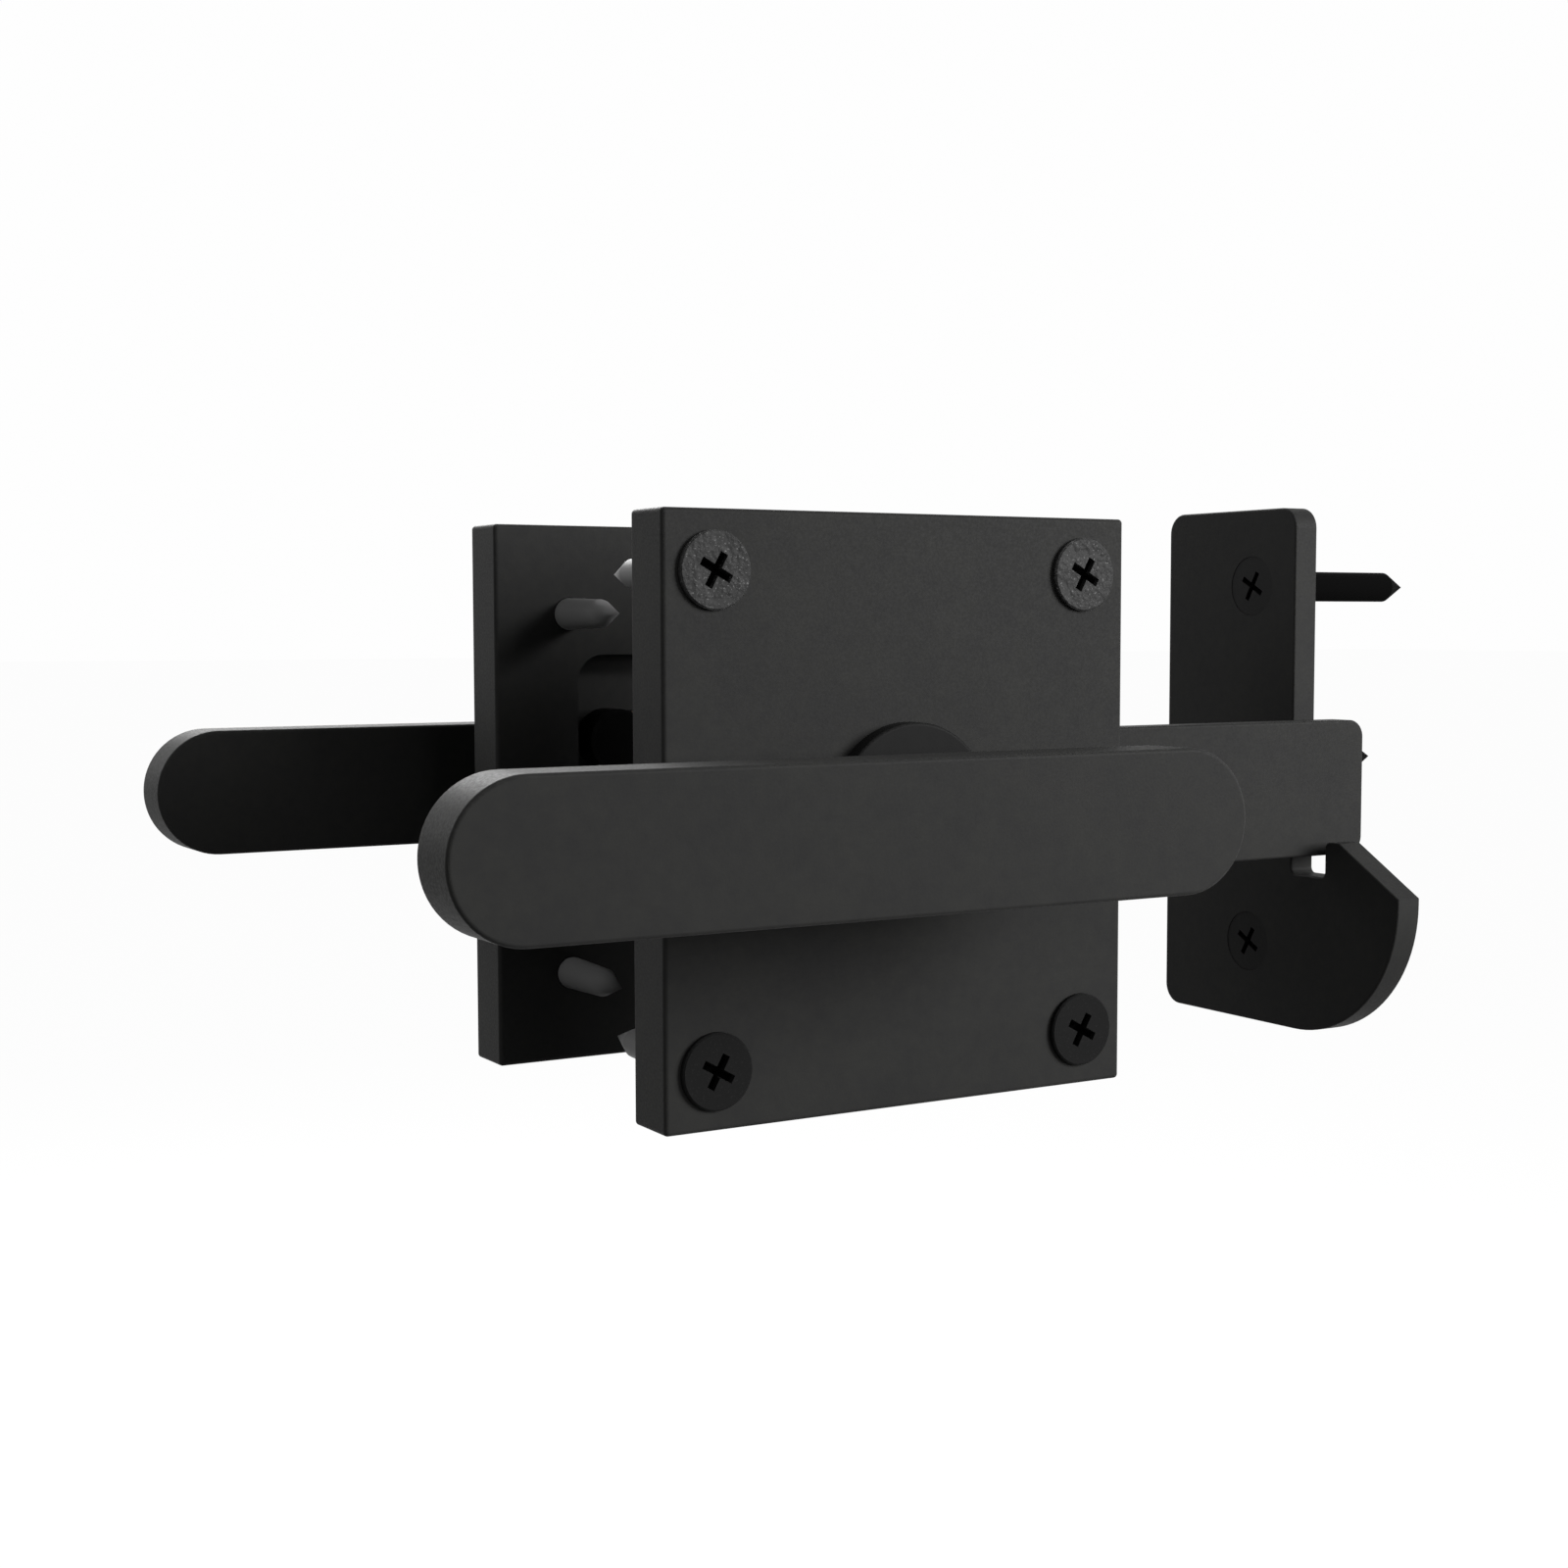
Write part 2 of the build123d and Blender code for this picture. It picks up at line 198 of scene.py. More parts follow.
@dataclass(frozen=True)
class PowderCoat(Finish):
    """Polyester powder coat, sprayed dry and baked in an oven: matt, with a fine grit and soft waves."""

    dark: str = "282828"
    light: str = "2c2c2b"
    # The grit of the real coat is about 0.1 mm across. It is drawn coarser, so that it shows.
    grit_mm: float = 0.45
    grit_depth_mm: float = 0.012
    peel_mm: float = 2.2
    peel_depth_mm: float = 0.02
    cloud_mm: float = 14.0
    # Sums of the waves and the clouds where the colour is all dark, and all light.
    all_dark: float = 0.7
    all_light: float = 1.3
    roughness_spread: float = 0.08

    def pattern(self, tree: bpy.types.NodeTree, place: bpy.types.NodeSocket) -> Sockets:
        """Make cloudy colour, grit and the soft waves that the powder leaves as it melts.

        Args:
            tree: the material's node tree.
            place: Object coordinates.

        Returns:
            Output sockets by the name of the shader's input that each one goes to.
        """
        grit, peel, cloud = (
            add_node(tree, "ShaderNodeTexNoise", {"Vector": place, "Scale": scale}).outputs["Fac"]
            for scale in map(pattern_scale, (self.grit_mm, self.peel_mm, self.cloud_mm))
        )
        mottle = add_node(tree, "ShaderNodeMath", {0: cloud, 1: peel}, operation="ADD").outputs["Value"]
        lightness = add_node(
            tree,
            "ShaderNodeMapRange",
            {"Value": mottle, "From Min": self.all_dark, "From Max": self.all_light},
        ).outputs["Result"]
        colour = add_node(
            tree,
            "ShaderNodeMix",
            {MIX_FACTOR: lightness, MIX_FIRST: linear(self.dark), MIX_SECOND: linear(self.light)},
            data_type="RGBA",
        ).outputs[MIX_COLOUR]
        rough = add_node(
            tree,
            "ShaderNodeMapRange",
            {
                "Value": grit,
                "From Min": NOISE_LOW,
                "From Max": NOISE_HIGH,
                "To Min": self.roughness - self.roughness_spread,
                "To Max": self.roughness + self.roughness_spread,
            },
        ).outputs["Result"]
        waves = add_node(
            tree, "ShaderNodeBump", {"Height": peel, "Distance": self.peel_depth_mm * MM}
        ).outputs["Normal"]
        relief = add_node(
            tree,
            "ShaderNodeBump",
            {"Height": grit, "Distance": self.grit_depth_mm * MM, "Normal": waves},
        ).outputs["Normal"]
        return {"Base Color": colour, "Roughness": rough, "Normal": relief}


@dataclass(frozen=True)
class SprayedScrew(Finish):
    """Steel wood screw with a powder-sprayed head: a coated top, a cross recess painted near-black as shade,
    and a plain shank.

    The three zones lie along the screw's axis, by their distance in millimetres from a plane across it.
    """

    axis: str = "Y"
    plane_mm: float = 30.0
    shank_end_mm: float = 30.5
    top_start_mm: float = 42.1
    zone_edge_mm: float = 0.05
    # The default top colours are the upper heads' lit copy: lighter than the plates' coat, as painted light.
    dark: str = "353535"
    light: str = "6a6a6a"
    # Near-black of the cross recess: painted shade in the recess.
    cross: str = "030303"
    shank: str = "7f7f7f"
    cross_roughness: float = 1.0
    shank_roughness: float = 0.4
    # Pale specks painted into the colour as glints of single grains. They are drawn coarser than real
    # grains, so that they show.
    glint_speck_mm: float = 0.45
    glint_speck_start: float = 0.6
    glint_speck_full: float = 0.72
    crinkle_mm: float = 1.0
    crinkle_detail: float = 3.0
    crinkle_depth_mm: float = 0.3
    # In patches the coat has run smooth, and only a share of the crinkles' depth is left there.
    patch_mm: float = 4.0
    patch_smooth: float = 0.42
    patch_crinkled: float = 0.56
    smooth_share: float = 0.25

    def pattern(self, tree: bpy.types.NodeTree, place: bpy.types.NodeSocket) -> Sockets:
        """Make the colour and roughness of the three zones, and the crinkles of the top.

        Args:
            tree: the material's node tree.
            place: Object coordinates.

        Returns:
            Output sockets by the name of the shader's input that each one goes to.
        """
        on_shank, on_top = self.zones(tree, place)
        return {
            "Base Color": self.colour(tree, place, on_shank, on_top),
            "Roughness": self.sheen(tree, on_shank, on_top),
            "Normal": self.crinkles(tree, place, on_top),
        }

    def zones(
        self, tree: bpy.types.NodeTree, place: bpy.types.NodeSocket
    ) -> tuple[bpy.types.NodeSocket, bpy.types.NodeSocket]:
        """Tell the shank and the head's top from the rest, by their depth along the screw.

        Args:
            tree: the material's node tree.
            place: Object coordinates.

        Returns:
            A socket that is 1 on the shank and one that is 1 on the head's top, both 0 elsewhere.
        """
        along = add_node(tree, "ShaderNodeSeparateXYZ", {"Vector": place}).outputs[self.axis]
        offset = add_node(tree, "ShaderNodeMath", {0: along, 1: self.plane_mm * MM}, operation="SUBTRACT")
        depth = add_node(tree, "ShaderNodeMath", {0: offset.outputs["Value"]}, operation="ABSOLUTE")
        on_shank, on_top = (
            add_node(
                tree,
                "ShaderNodeMapRange",
                {
                    "Value": depth.outputs["Value"],
                    "From Min": border * MM,
                    "From Max": (border + self.zone_edge_mm) * MM,
                    "To Min": before,
                    "To Max": past,
                },
            ).outputs["Result"]
            for border, before, past in ((self.shank_end_mm, 1.0, 0.0), (self.top_start_mm, 0.0, 1.0))
        )
        return on_shank, on_top

    def colour(
        self,
        tree: bpy.types.NodeTree,
        place: bpy.types.NodeSocket,
        on_shank: bpy.types.NodeSocket,
        on_top: bpy.types.NodeSocket,
    ) -> bpy.types.NodeSocket:
        """Colour the three zones, with pale specks painted as glints on the top.

        Args:
            tree: the material's node tree.
            place: Object coordinates.
            on_shank: 1 on the shank.
            on_top: 1 on the head's top.

        Returns:
            The colour.
        """
        grain = add_node(
            tree, "ShaderNodeTexNoise", {"Vector": place, "Scale": pattern_scale(self.glint_speck_mm)}
        ).outputs["Fac"]
        glint_speck = add_node(
            tree,
            "ShaderNodeMapRange",
            {"Value": grain, "From Min": self.glint_speck_start, "From Max": self.glint_speck_full},
        ).outputs["Result"]
        # The cross recess's near-black here is painted shade in the recess.
        sprayed, recess_and_shank = (
            add_node(
                tree,
                "ShaderNodeMix",
                {MIX_FACTOR: factor, MIX_FIRST: linear(first), MIX_SECOND: linear(second)},
                data_type="RGBA",
            ).outputs[MIX_COLOUR]
            for factor, first, second in ((glint_speck, self.dark, self.light), (on_shank, self.cross, self.shank))
        )
        return add_node(
            tree,
            "ShaderNodeMix",
            {MIX_FACTOR: on_top, MIX_FIRST: recess_and_shank, MIX_SECOND: sprayed},
            data_type="RGBA",
        ).outputs[MIX_COLOUR]

    def sheen(
        self, tree: bpy.types.NodeTree, on_shank: bpy.types.NodeSocket, on_top: bpy.types.NodeSocket
    ) -> bpy.types.NodeSocket:
        """Give each of the three zones its roughness.

        Args:
            tree: the material's node tree.
            on_shank: 1 on the shank.
            on_top: 1 on the head's top.

        Returns:
            The roughness.
        """
        recess_and_shank = add_node(
            tree,
            "ShaderNodeMapRange",
            {"Value": on_shank, "To Min": self.cross_roughness, "To Max": self.shank_roughness},
        ).outputs["Result"]
        return add_node(
            tree, "ShaderNodeMix", {"Factor": on_top, "A": recess_and_shank, "B": self.roughness}
        ).outputs["Result"]

    def crinkles(
        self, tree: bpy.types.NodeTree, place: bpy.types.NodeSocket, on_top: bpy.types.NodeSocket
    ) -> bpy.types.NodeSocket:
        """Raise the crinkles that the coat dried in, on the head's top only.

        Args:
            tree: the material's node tree.
            place: Object coordinates.
            on_top: 1 on the head's top.

        Returns:
            The normal.
        """
        crinkle = add_node(
            tree,
            "ShaderNodeTexNoise",
            {"Vector": place, "Scale": pattern_scale(self.crinkle_mm), "Detail": self.crinkle_detail},
        ).outputs["Fac"]
        patch = add_node(
            tree, "ShaderNodeTexNoise", {"Vector": place, "Scale": pattern_scale(self.patch_mm)}
        ).outputs["Fac"]
        share = add_node(
            tree,
            "ShaderNodeMapRange",
            {
                "Value": patch,
                "From Min": self.patch_smooth,
                "From Max": self.patch_crinkled,
                "To Min": self.smooth_share,
            },
        ).outputs["Result"]
        where = add_node(tree, "ShaderNodeMath", {0: share, 1: on_top}, operation="MULTIPLY")
        height = add_node(
            tree, "ShaderNodeMath", {0: crinkle, 1: where.outputs["Value"]}, operation="MULTIPLY"
        )
        return add_node(
            tree,
            "ShaderNodeBump",
            {"Height": height.outputs["Value"], "Distance": self.crinkle_depth_mm * MM},
        ).outputs["Normal"]


@dataclass(frozen=True)
class BlackOxide(Finish):
    """Steel blackened in a hot bath of salts or phosphate, then oiled: smooth, with a soft thin sheen."""

    dark: str = "080808"
    light: str = "0e0e0e"
    blotch_mm: float = 3.0
    # The bath's tooth is finer than 0.1 mm on a real part. It is drawn coarser, so that it shows.
    tooth_mm: float = 0.3
    tooth_depth_mm: float = 0.004

    def pattern(self, tree: bpy.types.NodeTree, place: bpy.types.NodeSocket) -> Sockets:
        """Make faint blotches of colour and the fine tooth of the bath.

        Args:
            tree: the material's node tree.
            place: Object coordinates.

        Returns:
            Output sockets by the name of the shader's input that each one goes to.
        """
        blotch, tooth = (
            add_node(tree, "ShaderNodeTexNoise", {"Vector": place, "Scale": scale}).outputs["Fac"]
            for scale in map(pattern_scale, (self.blotch_mm, self.tooth_mm))
        )
        colour = add_node(
            tree,
            "ShaderNodeMix",
            {MIX_FACTOR: blotch, MIX_FIRST: linear(self.dark), MIX_SECOND: linear(self.light)},
            data_type="RGBA",
        ).outputs[MIX_COLOUR]
        relief = add_node(
            tree, "ShaderNodeBump", {"Height": tooth, "Distance": self.tooth_depth_mm * MM}
        ).outputs["Normal"]
        return {"Base Color": colour, "Normal": relief}


@dataclass(frozen=True)
class ZincPlate(Finish):
    """Drawn steel with bright zinc plating: cool grey, with faint draw lines and blotches."""

    dark: str = "8b8e92"
    light: str = "b4b7ba"
    # Real draw lines are finer than 0.1 mm. They are drawn coarser, so that they show.
    line_mm: float = 0.3
    line_stretch: float = 20.0
    blotch_mm: float = 4.0
    roughness_spread: float = 0.08

    def pattern(self, tree: bpy.types.NodeTree, place: bpy.types.NodeSocket) -> Sockets:
        """Make blotches of colour, and draw lines along Y that change the roughness.

        Args:
            tree: the material's node tree.
            place: Object coordinates.

        Returns:
            Output sockets by the name of the shader's input that each one goes to.
        """
        drawn = add_node(
            tree, "ShaderNodeMapping", {"Vector": place, "Scale": (1.0, 1.0 / self.line_stretch, 1.0)}
        ).outputs["Vector"]
        lines = add_node(
            tree, "ShaderNodeTexNoise", {"Vector": drawn, "Scale": pattern_scale(self.line_mm)}
        ).outputs["Fac"]
        blotch = add_node(
            tree, "ShaderNodeTexNoise", {"Vector": place, "Scale": pattern_scale(self.blotch_mm)}
        ).outputs["Fac"]
        colour = add_node(
            tree,
            "ShaderNodeMix",
            {MIX_FACTOR: blotch, MIX_FIRST: linear(self.dark), MIX_SECOND: linear(self.light)},
            data_type="RGBA",
        ).outputs[MIX_COLOUR]
        rough = add_node(
            tree,
            "ShaderNodeMapRange",
            {
                "Value": lines,
                "From Min": NOISE_LOW,
                "From Max": NOISE_HIGH,
                "To Min": self.roughness - self.roughness_spread,
                "To Max": self.roughness + self.roughness_spread,
            },
        ).outputs["Result"]
        return {"Base Color": colour, "Roughness": rough}


@dataclass(frozen=True)
class SinteredBronze(Finish):
    """Bronze powder pressed and sintered, soaked in oil: warm brown with small dark pores."""

    metal: str = "a8804f"
    pore: str = "4b3822"
    # Real pores are smaller than 0.1 mm. They are drawn coarser, so that they show.
    pore_mm: float = 0.35
    pore_depth_mm: float = 0.02
    pore_start: float = 0.58
    pore_full: float = 0.68

    def pattern(self, tree: bpy.types.NodeTree, place: bpy.types.NodeSocket) -> Sockets:
        """Make the pores, in colour and relief.

        Args:
            tree: the material's node tree.
            place: Object coordinates.

        Returns:
            Output sockets by the name of the shader's input that each one goes to.
        """
        grain = add_node(
            tree, "ShaderNodeTexNoise", {"Vector": place, "Scale": pattern_scale(self.pore_mm)}
        ).outputs["Fac"]
        in_pore = add_node(
            tree,
            "ShaderNodeMapRange",
            {"Value": grain, "From Min": self.pore_start, "From Max": self.pore_full},
        ).outputs["Result"]
        colour = add_node(
            tree,
            "ShaderNodeMix",
            {MIX_FACTOR: in_pore, MIX_FIRST: linear(self.metal), MIX_SECOND: linear(self.pore)},
            data_type="RGBA",
        ).outputs[MIX_COLOUR]
        relief = add_node(
            tree, "ShaderNodeBump", {"Height": grain, "Distance": self.pore_depth_mm * MM}
        ).outputs["Normal"]
        return {"Base Color": colour, "Normal": relief}


@dataclass(frozen=True)
class SpringSteel(Finish):
    """Spring wire, drawn and tempered in oil: dark grey with a blue-brown heat tint."""

    cool: str = "3d4046"
    warm: str = "4d4640"
    tint_mm: float = 3.0
    all_cool: float = 0.4
    all_warm: float = 0.6

    def pattern(self, tree: bpy.types.NodeTree, place: bpy.types.NodeSocket) -> Sockets:
        """Make the heat tint.

        Args:
            tree: the material's node tree.
            place: Object coordinates.

        Returns:
            Output sockets by the name of the shader's input that each one goes to.
        """
        heat = add_node(
            tree, "ShaderNodeTexNoise", {"Vector": place, "Scale": pattern_scale(self.tint_mm)}
        ).outputs["Fac"]
        warmth = add_node(
            tree,
            "ShaderNodeMapRange",
            {"Value": heat, "From Min": self.all_cool, "From Max": self.all_warm},
        ).outputs["Result"]
        colour = add_node(
            tree,
            "ShaderNodeMix",
            {MIX_FACTOR: warmth, MIX_FIRST: linear(self.cool), MIX_SECOND: linear(self.warm)},
            data_type="RGBA",
        ).outputs[MIX_COLOUR]
        return {"Base Color": colour}


class Look(Enum):
    """The finishes of the latch."""

    # Plates, levers, latch bar and catch.
    COAT = PowderCoat("powder_coated_steel", roughness=0.55, metallic=0.0, specular=0.046)
    # Upper screws of the plates: a coat that dried in crinkles, painted lighter as the light that falls on
    # the upper heads, with pale specks painted as glints.
    LIT_UPPER_SCREW = SprayedScrew("lit_upper_sprayed_screw_steel", roughness=0.42, metallic=0.0, specular=0.041)
    # Lower screws of the plates: nearly smooth, and painted darker as shade under the front lever.
    SHADED_LOWER_SCREW = SprayedScrew(
        "shaded_lower_sprayed_screw_steel",
        roughness=0.42,
        metallic=0.0,
        specular=0.0165,
        dark="1d1d1d",
        light="272727",
        crinkle_depth_mm=0.03,
    )
    # Screws of the catch: a thin coat like the catch's own on the head, over a shank painted near-black as
    # shade.
    CATCH_SCREW = SprayedScrew(
        "sprayed_catch_screw_steel",
        roughness=0.4,
        metallic=0.0,
        specular=0.035,
        axis="X",
        plane_mm=140.0,
        shank_end_mm=29.1,
        top_start_mm=34.9,
        dark="282828",
        light="2c2c2b",
        # Near-black painted shade on the shank.
        shank="070707",
        shank_roughness=1.0,
        crinkle_depth_mm=0.02,
    )
    # Roses: darker and duller than the plates' coat, and greyer than oxide.
    DULL_BLACK = BlackOxide(
        "dull_black_rose_steel",
        roughness=0.46,
        metallic=0.0,
        specular=0.025,
        dark="1c1c1c",
        light="202020",
    )
    # Stop pins and set screws, in black oxide. On the stop pins its near-black is also painted shade in the
    # plates' pockets.
    OXIDE_AND_SHADE = BlackOxide("black_oxide_and_shade_steel", roughness=0.4, metallic=0.0, specular=0.014)
    # Spindle, push-on washer and the spring's hub.
    PLATED = ZincPlate("zinc_plated_steel", roughness=0.38, metallic=1.0)
    # Bushes that the levers' journals turn in.
    BRONZE = SinteredBronze("sintered_bronze", roughness=0.42, metallic=1.0)
    # Return spring.
    SPRING = SpringSteel("oil_tempered_spring_steel", roughness=0.4, metallic=1.0)


class Wardrobe:
    """Materials by look, each built once."""

    def __init__(self) -> None:
        """Start with no material built."""
        self.materials: dict[Look, bpy.types.Material] = {}

    def material(self, look: Look) -> bpy.types.Material:
        """Build a look's material the first time it is asked for.

        Args:
            look: the finish wanted.

        Returns:
            The finish's material.
        """
        if look not in self.materials:
            self.materials[look] = look.value.material()
        return self.materials[look]

    def dress(self, look: Look, *names: str) -> None:
        """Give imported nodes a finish.

        Args:
            look: the finish.
            names: names of the nodes.
        """
        for name in names:
            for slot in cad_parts[name].material_slots:
                slot.material = self.material(look)
            log.info("%s dressed in %s", name, look.value.name)


def draw_out(
    shape: bmesh.types.BMesh, rim: list[bmesh.types.BMEdge], run: Vector
) -> list[bmesh.types.BMEdge]:
    """Lengthen an open tube in a straight line.

    Args:
        shape: mesh that holds the tube.
        rim: edges of the tube's open end.
        run: direction and length of the new stretch.

    Returns:
        Edges of the new open end.
    """
    grown = bmesh.ops.extrude_edge_only(shape, edges=rim)["geom"]
    corners = [part for part in grown if isinstance(part, bmesh.types.BMVert)]
    bmesh.ops.translate(shape, verts=corners, vec=run)
    return [part for part in grown if isinstance(part, bmesh.types.BMEdge)]


def wind_out(
    shape: bmesh.types.BMesh,
    rim: list[bmesh.types.BMEdge],
    centre: Vector,
    axis: Vector,
    angle: float,
    steps: int,
    rise: float = 0.0,
) -> list[bmesh.types.BMEdge]:
    """Lengthen an open tube round an axis.

    Args:
        shape: mesh that holds the tube.
        rim: edges of the tube's open end.
        centre: point on the axis.
        axis: direction of the axis.
        angle: how far the tube goes round, in radians.
        steps: stretches that the arc is divided into.
        rise: how far the tube climbs along the axis.

    Returns:
        Edges of the new open end.
    """
    corners = list({corner for edge in rim for corner in edge.verts})
    wound = bmesh.ops.spin(
        shape,
        geom=rim + corners,
        cent=centre,
        axis=axis,
        dvec=axis * (rise / steps),
        angle=angle,
        steps=steps,
        use_merge=False,
        use_duplicate=False,
    )
    return [part for part in wound["geom_last"] if isinstance(part, bmesh.types.BMEdge)]


def add_piece(name: str, shape: bmesh.types.BMesh, material: bpy.types.Material) -> bpy.types.Object:
    """Turn a finished mesh into an object of the latch.

    Args:
        name: name of the piece.
        shape: its mesh in metres, at its place.
        material: its finish.

    Returns:
        The new object.
    """
    bmesh.ops.recalc_face_normals(shape, faces=shape.faces)
    mesh = bpy.data.meshes.new(name)
    shape.to_mesh(mesh)
    shape.free()
    mesh.materials.append(material)
    piece = bpy.data.objects.new(name, mesh)
    bpy.context.scene.collection.objects.link(piece)
    log.info("%s has %d faces", name, len(mesh.polygons))
    return piece


@dataclass
class WoodScrew:
    """Countersunk wood screw with a cross recess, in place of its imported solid.

    It is made along +Z with the top of its head at 0, and then turned to its place. Sizes in millimetres.
    """

    node: str
    look: Look
    wardrobe: Wardrobe
    turn: Matrix
    land: float = 1.1
    grip: float = 13.1
    rim_chamfer: float = 0.3
    cone_radius: float = 6.3
    neck_radius: float = 2.8
    body_radius: float = 3.2
    tip_radius: float = 2.8
    tip_length: float = 8.4
    cross_span: float = 6.6
    cross_arm: float = 1.55
    cross_depth: float = 2.2
    cross_slope: float = math.radians(8.0)
    cross_turn: float = math.radians(29.0)
    steps: int = 64
    sharp_angle: float = math.radians(25.0)

    def measure(self) -> tuple[Vector, float, float]:
        """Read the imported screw's place and size.

        Returns:
            The middle of the head's top, the head's radius and the screw's length, in millimetres.
        """
        low, high = (Vector(corner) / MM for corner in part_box(self.node))
        along = self.turn @ Vector((0, 0, 1))
        size = high - low
        length = abs(size.dot(along))
        top = (low + high) / 2 - along * (length / 2)
        return top, size.z / 2, length

    def turn_body(self, shape: bmesh.types.BMesh, head_radius: float, length: float) -> None:
        """Spin the screw's half section, left open at the top of the head.

        Args:
            shape: mesh that gets the screw.
            head_radius: radius of the head.
            length: length from the head's top to the tip.
        """
        # Under its rim the head narrows to the neck at 45 degrees.
        section = [
            (head_radius - self.rim_chamfer, 0.0),
            (head_radius, self.rim_chamfer),
            (head_radius, self.land),
            (self.cone_radius, self.land),
            (self.neck_radius, self.land + self.cone_radius - self.neck_radius),
            (self.neck_radius, self.grip),
            (self.body_radius, self.grip),
            (self.tip_radius, length - self.tip_length),
            (0.0, length),
        ]
        corners = [shape.verts.new((radius, 0.0, depth)) for radius, depth in section]
        edges = [shape.edges.new(pair) for pair in zip(corners, corners[1:])]
        bmesh.ops.spin(
            shape,
            geom=corners + edges,
            cent=(0, 0, 0),
            axis=(0, 0, 1),
            angle=math.tau,
            steps=self.steps,
            use_merge=True,
            use_duplicate=False,
        )
        bmesh.ops.remove_doubles(shape, verts=shape.verts, dist=MERGE_MM)

    def sink_cross(self, shape: bmesh.types.BMesh) -> None:
        """Close the head's top round a tapered cross recess.

        Args:
            shape: mesh of the screw, open at the top of its head.
        """
        rim = [edge for edge in shape.edges if edge.is_boundary]
        taper = self.cross_depth * math.tan(self.cross_slope)
        half_span, half_arm = self.cross_span / 2 - taper, self.cross_arm / 2 - taper
        sunk = Matrix.Translation((0, 0, self.cross_depth))
        grid = bmesh.ops.create_grid(shape, x_segments=3, y_segments=3, size=half_span, matrix=sunk)["verts"]
        # The grid's inner rows become the sides of the arms. Without its four corners it is a cross.
        for corner in grid:
            if abs(corner.co.x) < half_span / 2:
                corner.co.x = math.copysign(half_arm, corner.co.x)
            if abs(corner.co.y) < half_span / 2:
                corner.co.y = math.copysign(half_arm, corner.co.y)
        outside = [corner for corner in grid if min(abs(corner.co.x), abs(corner.co.y)) > half_arm + taper]
        bmesh.ops.delete(shape, geom=outside, context="VERTS")
        outline = [edge for edge in shape.edges if edge.is_boundary and edge not in rim]
        grown = bmesh.ops.extrude_edge_only(shape, edges=outline)["geom"]
        lifted = [part for part in grown if isinstance(part, bmesh.types.BMVert)]
        for corner in lifted:
            corner.co.x += math.copysign(taper, corner.co.x)
            corner.co.y += math.copysign(taper, corner.co.y)
            corner.co.z = 0.0
        cross = [corner for corner in grid if corner.is_valid] + lifted
        bmesh.ops.rotate(shape, verts=cross, cent=(0, 0, 0), matrix=Matrix.Rotation(self.cross_turn, 3, "Z"))
        outline = [part for part in grown if isinstance(part, bmesh.types.BMEdge)]
        bmesh.ops.triangle_fill(shape, edges=rim + outline, use_beauty=True, normal=(0, 0, -1))

    def build(self) -> bpy.types.Object:
        """Make the screw in place of its solid.

        Returns:
            The finished piece.
        """
        top, head_radius, length = self.measure()
        shape = bmesh.new()
        self.turn_body(shape, head_radius, length)
        self.sink_cross(shape)
        place = Matrix.Scale(MM, 4) @ Matrix.Translation(top) @ self.turn
        bmesh.ops.transform(shape, matrix=place, verts=shape.verts)
        for face in shape.faces:
            face.smooth = True
        piece = add_piece(f"wood_{self.node}", shape, self.wardrobe.material(self.look))
        piece.data.set_sharp_from_angle(angle=self.sharp_angle)
        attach(piece, Body.MOUNTED.value)
        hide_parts(self.node)
        return piece


@dataclass
class GateSide:
    """Plate on one face of the gate, with its rose, bush, stop pin and four screws."""

    side: Side
    wardrobe: Wardrobe

    def dress(self) -> None:
        """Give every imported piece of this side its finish."""
        name = self.side.value
        self.wardrobe.dress(Look.COAT, f"{name}_plate")
        self.wardrobe.dress(Look.DULL_BLACK, f"{name}_rose")
        # The stop pin's near-black is partly painted shade in the pocket.
        self.wardrobe.dress(Look.OXIDE_AND_SHADE, f"{name}_stop_pin")
        self.wardrobe.dress(Look.BRONZE, f"{name}_bush")

    def build(self) -> None:
        """Make this side's four wood screws, which point into the gate."""
        inward = -math.pi / 2 if self.side is Side.FRONT else math.pi / 2
        for corner in Corner:
            # Upper heads get the lighter, lit copy of the finish, and lower heads the darker copy, as
            # painted shade under the front lever.
            look = Look.LIT_UPPER_SCREW if corner in (Corner.TOP_LEFT, Corner.TOP_RIGHT) else Look.SHADED_LOWER_SCREW
            node = f"{self.side.value}_screw_{corner.value}"
            WoodScrew(node, look, self.wardrobe, Matrix.Rotation(inward, 4, "X")).build()


@dataclass
class LeverSet:
    """Both levers, the spindle through the gate and what turns with it."""

    wardrobe: Wardrobe

    def dress(self) -> None:
        """Give every piece that turns its finish."""
        self.wardrobe.dress(Look.COAT, "front_lever", "back_lever", "latch_bar")
        self.wardrobe.dress(Look.OXIDE_AND_SHADE, "front_set_screw", "back_set_screw")
        self.wardrobe.dress(Look.PLATED, "spindle", "push_on_washer", "spring_hub")


@dataclass
class HookCatch:
    """Catch plate on the post and its three screws. Sizes in millimetres."""

    wardrobe: Wardrobe
    rows: tuple[str, ...] = ("top", "middle", "bottom")
    screw_land: float = 0.6
    screw_grip: float = 5.9
    screw_chamfer: float = 0.05
    screw_tip_radius: float = 3.2
    screw_tip_length: float = 6.0
    screw_cross_arm: float = 1.2

    def dress(self) -> None:
        """Give the catch plate its finish."""
        self.wardrobe.dress(Look.COAT, "catch_plate")

    def build(self) -> None:
        """Make the three screws, which point into the post."""
        for row in self.rows:
            WoodScrew(
                f"catch_screw_{row}",
                Look.CATCH_SCREW,
                self.wardrobe,
                Matrix.Rotation(math.pi / 2, 4, "Y"),
                land=self.screw_land,
                grip=self.screw_grip,
                rim_chamfer=self.screw_chamfer,
                tip_radius=self.screw_tip_radius,
                tip_length=self.screw_tip_length,
                cross_arm=self.screw_cross_arm,
            ).build()


